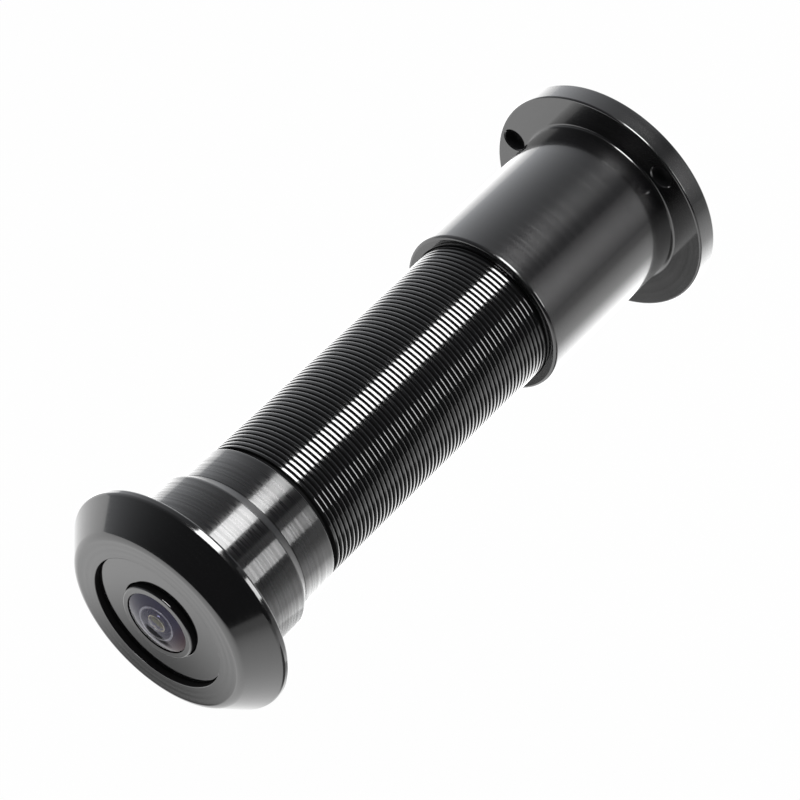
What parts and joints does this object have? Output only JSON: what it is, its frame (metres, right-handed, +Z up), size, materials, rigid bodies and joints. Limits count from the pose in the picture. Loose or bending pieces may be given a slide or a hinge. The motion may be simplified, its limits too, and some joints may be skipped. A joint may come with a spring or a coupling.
{
  "type": "peephole door camera",
  "caption": "Black metal peephole door camera: a coned front bezel with a small domed lens, a finely threaded barrel, and a flanged rear sleeve that screws along it to clamp the door.",
  "frame": {"origin": "on the camera's axis, in the plane of the bezel's back face, which rests on the outside of the door", "axes": "+Y along the barrel from the lens towards the rear sleeve, so the lens faces -Y; +Z up"},
  "size_m": [0.022, 0.0623, 0.022],
  "materials": {
    "black_anodised_gloss": "turned and black anodised, semi-gloss with fine lathe rings",
    "black_anodised_satin": "turned, bead-blasted and black anodised, satin",
    "black_anodised_face": "black anodised, satin",
    "lens_barrel_black": "turned and black anodised, satin",
    "inner_black": "matt black anodised",
    "coated_glass": "polished, with a violet anti-reflection coating",
    "filter_glass": "polished",
    "sensor_body": "ceramic package, smooth",
    "seal_rubber": "moulded, matt",
    "moulded_black": "moulded, fine grain",
    "moulded_white": "moulded nylon",
    "nylon": "turned nylon",
    "circuit_board": "solder mask over glass-fibre laminate",
    "chip_black": "moulded epoxy",
    "crystal_can": "pressed and plated can",
    "ceramic_tan": "fired ceramic with tinned ends",
    "screw_steel": "machined",
    "pin_brass": "gold flashed"
  },
  "bodies": {
    "housing": {"bezel": "black_anodised_gloss", "trim_disc": "black_anodised_face", "lens_barrel": "lens_barrel_black", "front_lens": "coated_glass", "second_lens": "coated_glass", "rear_lens": "coated_glass", "lens_spacer": "inner_black", "aperture_stop": "inner_black", "lens_retainer": "lens_barrel_black", "lens_seal": "seal_rubber", "module_spacer": "inner_black", "lens_holder": "moulded_black", "ir_filter": "filter_glass", "image_sensor": "sensor_body", "sensor_glass": "filter_glass", "sensor_board": "circuit_board", "holder_screws": "screw_steel", "barrel": "black_anodised_gloss", "edge_connector": "moulded_black", "main_board": "circuit_board", "processor_chip": "chip_black", "memory_chip": "chip_black", "crystal": "crystal_can", "power_inductor": "chip_black", "capacitors": "ceramic_tan", "rear_plug": "moulded_black", "cable_socket": "moulded_white", "socket_pins": "pin_brass"},
    "ring_carrier": {"friction_ring": "nylon"},
    "sleeve": {"rear_sleeve": "black_anodised_satin"}
  },
  "joints": [
    {"name": "sleeve_travel", "type": "slide", "parent": "housing", "child": "ring_carrier", "axis": [0, 1, 0], "range_m": [-0.01351, 0.00251]},
    {"name": "sleeve_turn", "type": "hinge", "parent": "ring_carrier", "child": "sleeve", "pos_m": [0, 0.0415, 0], "axis": [0, 1, 0], "range_deg": [-9720, 1800]}
  ],
  "couplings": [
    {"joint": "sleeve_travel", "follows": "sleeve_turn", "m_per_rad": 0.000079577}
  ]
}
